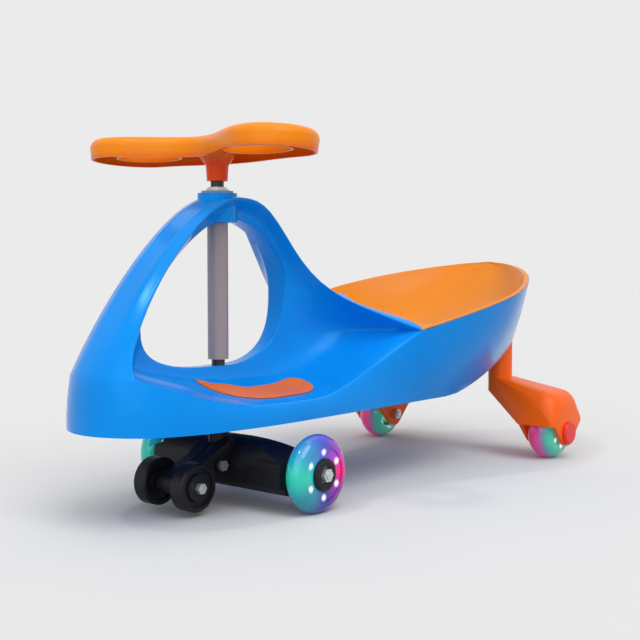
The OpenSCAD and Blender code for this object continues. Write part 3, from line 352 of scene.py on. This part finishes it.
# Front bogie, wheel caps and stabiliser wheels: black polypropylene with a fine moulded grain.
# The bogie is clamped to the shaft by its pinch bolt. Satin, greyer where light rakes over the grain.
BOGIE_BLACK = (0.009, 0.009, 0.013)
black_plastic = moulded("black_grained_plastic", BOGIE_BLACK, rough=(0.36, 0.50), bumps=900, relief=0.2,
                        shine=DULL_SHINE)
bogie = merged_copy("front_bogie", "bogie_arch", "steering")
smooth(bogie, fold=35)
dress_piece(bogie, black_plastic)
dress(black_plastic, "front_cap_left", "front_cap_right", "stabiliser_wheel_left", "stabiliser_wheel_right")

# Running wheels: clear polyurethane tyres on pale cores. A magnet on the axle lights the lamps
# inside, so colours run round the front wheels and across the rear ones, with white spots at the lamps.
ROUND_COLOURS = [(0.00, (0.85, 0.010, 0.22)), (0.10, (0.28, 0.010, 0.36)), (0.25, (0.03, 0.03, 0.32)),
                 (0.38, (0.01, 0.30, 0.42)), (0.50, (0.01, 0.62, 0.48)), (0.64, (0.02, 0.30, 0.62)),
                 (0.75, (0.06, 0.07, 0.60)), (0.86, (0.32, 0.03, 0.55)), (0.94, (0.72, 0.01, 0.42)),
                 (1.00, (0.85, 0.010, 0.22))]
ACROSS_COLOURS = [(0.00, (0.62, 0.02, 0.16)), (0.28, (0.85, 0.03, 0.30)), (0.45, (0.62, 0.10, 0.38)),
                  (0.56, (0.20, 0.28, 0.45)), (0.72, (0.04, 0.62, 0.42)), (1.00, (0.14, 0.66, 0.46))]
ACROSS_START, ACROSS_WANDER = 0.22, 0.3
LAMPS = 6
LAMP_RINGS = {"front": 0.0235, "rear": 0.0180}
LAMP_WHITE = (0.9, 0.95, 1.0, 1)
SPOT_CORE, SPOT_EDGE = 0.0005, 0.0055
SPOT_GLOW, TYRE_GLOW, CORE_GLOW = 0.6, 0.16, 0.22
CLEAR_ROUGH = (0.06, 0.14)
CLEAR_COAT, COAT_ROUGH = 0.5, 0.05
CLEARNESS, CLEAR_IOR = 0.2, 1.45
BOARD_GREEN = (0.03, 0.20, 0.07)
FERRITE_GREY = (0.06, 0.065, 0.075)
BEARING_GREY = (0.55, 0.56, 0.58)
# Where a Mix node keeps its two colours and their mixture, which share their names with other sockets.
FIRST_COLOUR, SECOND_COLOUR, MIXED_COLOUR = 6, 7, 2


def half_across(node):
    low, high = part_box(node)
    return (high.y - low.y) / 2


def feed(tree, socket, value):
    """Gives a socket a fixed value, or what another node works out."""
    if isinstance(value, bpy.types.NodeSocket):
        tree.links.new(value, socket)
    else:
        socket.default_value = value


def reckon(tree, operation, first, second=0):
    """One step of arithmetic."""
    step = tree.nodes.new("ShaderNodeMath")
    step.operation = operation
    feed(tree, step.inputs[0], first)
    feed(tree, step.inputs[1], second)
    return step.outputs[0]


def hypotenuse(tree, first, second):
    squares = [reckon(tree, "POWER", side, 2) for side in (first, second)]
    return reckon(tree, "SQRT", reckon(tree, "ADD", *squares))


def ease(tree, value, start, end):
    """Runs softly from 0, where a value is at its start, to 1 at its end."""
    slope = tree.nodes.new("ShaderNodeMapRange")
    slope.interpolation_type = "SMOOTHSTEP"
    slope.inputs["From Min"].default_value = start
    slope.inputs["From Max"].default_value = end
    tree.links.new(value, slope.inputs["Value"])
    return slope.outputs["Result"]


def blend(tree, share, first, second):
    """Goes from a first colour to a second one as a share runs from 0 to 1."""
    mix = tree.nodes.new("ShaderNodeMix")
    mix.data_type = "RGBA"
    tree.links.new(share, mix.inputs["Factor"])
    feed(tree, mix.inputs[FIRST_COLOUR], first)
    feed(tree, mix.inputs[SECOND_COLOUR], second)
    return mix.outputs[MIXED_COLOUR]


def round_axle(tree, centre):
    """The turn round an axle, from 0 to 1, and the place from the wheel's middle, with Z on the axle."""
    place = tree.nodes.new("ShaderNodeTexCoord")
    put = tree.nodes.new("ShaderNodeMapping")
    put.vector_type = "TEXTURE"
    put.inputs["Location"].default_value = centre
    put.inputs["Rotation"].default_value = (math.radians(90), 0, 0)
    tree.links.new(place.outputs["Object"], put.inputs["Vector"])
    turn = tree.nodes.new("ShaderNodeTexGradient")
    turn.gradient_type = "RADIAL"
    tree.links.new(put.outputs["Vector"], turn.inputs["Vector"])
    axes = tree.nodes.new("ShaderNodeSeparateXYZ")
    tree.links.new(put.outputs["Vector"], axes.inputs["Vector"])
    return turn.outputs["Fac"], axes.outputs


def colour_run(tree, where, colours):
    """A run of colours, each at its own stop between 0 and 1."""
    ramp = tree.nodes.new("ShaderNodeValToRGB")
    ramp.color_ramp.interpolation = "EASE"
    stops = ramp.color_ramp.elements
    ready = len(stops)
    for k, (stop_at, colour) in enumerate(colours):
        stop = stops[k] if k < ready else stops.new(stop_at)
        stop.position = stop_at
        stop.color = list(colour) + [1]
    tree.links.new(where, ramp.inputs["Fac"])
    return ramp.outputs["Color"]


def lamp_spots(tree, turn, axes, ring):
    """1 at the lamps, which stand in a ring round the axle, and 0 away from them."""
    step = reckon(tree, "FRACT", reckon(tree, "MULTIPLY", turn, LAMPS))
    sideways = reckon(tree, "MULTIPLY", reckon(tree, "SUBTRACT", step, 0.5), 2 * math.pi * ring / LAMPS)
    outward = reckon(tree, "SUBTRACT", hypotenuse(tree, axes["X"], axes["Y"]), ring)
    return ease(tree, hypotenuse(tree, sideways, outward), SPOT_EDGE, SPOT_CORE)


def lit(name, centre, half_width, ring, glow):
    """Lit clear plastic. With no half width the colours run round the axle, and otherwise across it."""
    finish = new_finish(name)
    tree, shader = finish.node_tree, shader_of(finish)
    turn, axes = round_axle(tree, centre)
    where, colours = turn, ROUND_COLOURS
    if half_width:
        wander = reckon(tree, "MULTIPLY", mottle(tree, scale=45, detail=1), ACROSS_WANDER)
        across = reckon(tree, "MULTIPLY", axes["Z"], -0.5 / half_width)
        where = reckon(tree, "ADD", wander, reckon(tree, "ADD", across, ACROSS_START))
        colours = ACROSS_COLOURS
    spots = lamp_spots(tree, turn, axes, ring)
    colour = blend(tree, spots, colour_run(tree, where, colours), LAMP_WHITE)
    tree.links.new(colour, shader.inputs["Base Color"])
    tree.links.new(colour, shader.inputs["Emission Color"])
    strength = reckon(tree, "ADD", reckon(tree, "MULTIPLY", spots, SPOT_GLOW), glow)
    tree.links.new(strength, shader.inputs["Emission Strength"])
    gloss = mottle(tree, scale=90, detail=3)
    tree.links.new(uneven(tree, gloss, *CLEAR_ROUGH), shader.inputs["Roughness"])
    shader.inputs["Coat Weight"].default_value = CLEAR_COAT
    shader.inputs["Coat Roughness"].default_value = COAT_ROUGH
    shader.inputs["Transmission Weight"].default_value = CLEARNESS
    shader.inputs["IOR"].default_value = CLEAR_IOR
    return finish


board_green = moulded("lamp_board_green", BOARD_GREEN, rough=(0.35, 0.5), bumps=900, relief=0.05)
ferrite = moulded("dark_ferrite", FERRITE_GREY, rough=(0.45, 0.6), bumps=900, relief=0.1)
race_steel = plated("bearing_steel", BEARING_GREY, rough=(0.12, 0.25))
for end, ring in LAMP_RINGS.items():
    for side in ("left", "right"):
        wheel = end + "_%s_" + side
        centre = middle(wheel % "tyre")
        half_width = half_across(wheel % "tyre") if end == "rear" else 0
        for piece, glow in (("tyre", TYRE_GLOW), ("core", CORE_GLOW)):
            lit_plastic = lit("lit_%s_%s_%s" % (piece, end, side), centre, half_width, ring, glow)
            dress(lit_plastic, wheel % piece)
        dress(board_green, wheel % "light_ring")
        dress(ferrite, wheel % "magnet")
        dress(race_steel, wheel % "bearings")

# Steering wheel: an orange butterfly-shaped shell, open below, with two hand openings and a
# flared hub that is screwed to the shaft under a plain cap. Moulded plastic with painted shade: deeper
# red-orange lower down, on the underside and hub.
GRIP_ORANGE = (0.98, 0.270, 0.003)
# Painted shade: the colour and heights below darken the underside and hub towards red-orange.
PAINTED_SHADE_ORANGE = (0.90, 0.07, 0.003, 1)
SHADE_FULL_Z, SHADE_END_Z = 0.362, 0.378


def paint_underside_shade(finish, colour, low, high):
    """Paints shade into a finish: turns it towards a deeper red-orange from one height down to another,
    where less light falls.
    """
    tree = finish.node_tree
    base = shader_of(finish).inputs["Base Color"]
    place = tree.nodes.new("ShaderNodeTexCoord")
    axes = tree.nodes.new("ShaderNodeSeparateXYZ")
    tree.links.new(place.outputs["Object"], axes.inputs["Vector"])
    height = ease(tree, axes.outputs["Z"], low, high)
    tree.links.new(blend(tree, height, colour, base.links[0].from_socket), base)


grip_plastic = moulded("grip_orange_plastic", GRIP_ORANGE, rough=(0.26, 0.36), bumps=300, relief=0.05,
                       shine=DULL_SHINE)
# Painted shade: the grip and its cap turn deeper red-orange below a height.
paint_underside_shade(grip_plastic, PAINTED_SHADE_ORANGE, SHADE_FULL_Z, SHADE_END_Z)
grip = merged_copy("steering_wheel", "steering_grip", "steering")
smooth(grip, fold=32)
dress_piece(grip, grip_plastic)
dress(grip_plastic, "steering_cap")

# Studio: a pale floor and a surround of the same grey, so that the floor has no far edge, and five
# distant lamps, four of them soft and one narrow for the gloss. The floor and the surround light the
# car less than they show. The camera stands where the photograph was taken.
SURROUND, SURROUND_LIGHT = 0.83, 0.46
FLOOR, FLOOR_BOUNCE = 0.755, 0.5
FLOOR_SIZE = 60
CAMERA_AHEAD, CAMERA_LEFT, CAMERA_UP = 0.8387, 0.8456, 0.2653
CAMERA_TILT, CAMERA_TURN = 86.7, 130
CAMERA_LENS, CAMERA_FILM = 62.73, 36


def grey(level):
    return (level, level, level, 1)


def show_or_light(tree, output, lighting, shown):
    """Shows one shader to the camera, straight or in gloss and glass, and lights the car by another."""
    rays = tree.nodes.new("ShaderNodeLightPath").outputs
    mirrored = reckon(tree, "MAXIMUM", rays["Is Glossy Ray"], rays["Is Transmission Ray"])
    pick = tree.nodes.new("ShaderNodeMixShader")
    tree.links.new(reckon(tree, "MAXIMUM", rays["Is Camera Ray"], mirrored), pick.inputs["Fac"])
    tree.links.new(lighting, pick.inputs[1])
    tree.links.new(shown, pick.inputs[2])
    tree.links.new(pick.outputs["Shader"], tree.nodes[output].inputs["Surface"])


bpy.ops.object.select_all(action="DESELECT")
bpy.ops.mesh.primitive_plane_add(size=FLOOR_SIZE, location=(0, 0, 0))
floor = bpy.context.object
floor.name = "studio_floor"
pale_floor = new_finish("pale_floor")
tree, shader = pale_floor.node_tree, shader_of(pale_floor)
shader.inputs["Roughness"].default_value = 1.0
shader.inputs["Specular IOR Level"].default_value = 0.0
clouds = mottle(tree, scale=3, detail=2)
floor_colour = cloudy(tree, clouds, (FLOOR, FLOOR, FLOOR), darkest=0.995, lightest=1.005)
tree.links.new(floor_colour, shader.inputs["Base Color"])
dim = tree.nodes.new("ShaderNodeBsdfDiffuse")
dim.inputs["Color"].default_value = grey(FLOOR_BOUNCE)
show_or_light(tree, "Material Output", dim.outputs["BSDF"], shader.outputs["BSDF"])
dress_piece(floor, pale_floor)

world = bpy.data.worlds.new("pale_studio")
bpy.context.scene.world = world
world.use_nodes = True
tree = world.node_tree
shown = tree.nodes.new("ShaderNodeBackground")
shown.inputs["Color"].default_value = grey(SURROUND)
fill = tree.nodes["Background"]
fill.inputs["Color"].default_value = grey(1)
fill.inputs["Strength"].default_value = SURROUND_LIGHT
show_or_light(tree, "World Output", fill.outputs["Background"], shown.outputs["Background"])


def lamp(name, turn, height, spread, strength):
    """A distant lamp that shines from a compass turn and a height, both in degrees."""
    light = bpy.data.lights.new(name, "SUN")
    light.angle = math.radians(spread)
    light.energy = strength
    holder = bpy.data.objects.new(name, light)
    bpy.context.collection.objects.link(holder)
    holder.rotation_euler = (math.radians(90 - height), 0, math.radians(turn + 90))


lamp("key", turn=75, height=52, spread=40, strength=1.2)
lamp("top", turn=30, height=80, spread=50, strength=0.35)
lamp("strip", turn=-20, height=60, spread=5, strength=0.3)
lamp("front", turn=25, height=25, spread=60, strength=0.7)
lamp("back", turn=215, height=55, spread=60, strength=0.2)

camera = bpy.data.objects.new("camera", bpy.data.cameras.new("camera"))
bpy.context.collection.objects.link(camera)
camera.location = (COLUMN_X + CAMERA_AHEAD, CAMERA_LEFT, CAMERA_UP)
camera.rotation_euler = (math.radians(CAMERA_TILT), 0, math.radians(CAMERA_TURN))
camera.data.lens = CAMERA_LENS
camera.data.sensor_width = CAMERA_FILM
bpy.context.scene.camera = camera
bpy.context.scene.view_settings.view_transform = "Standard"
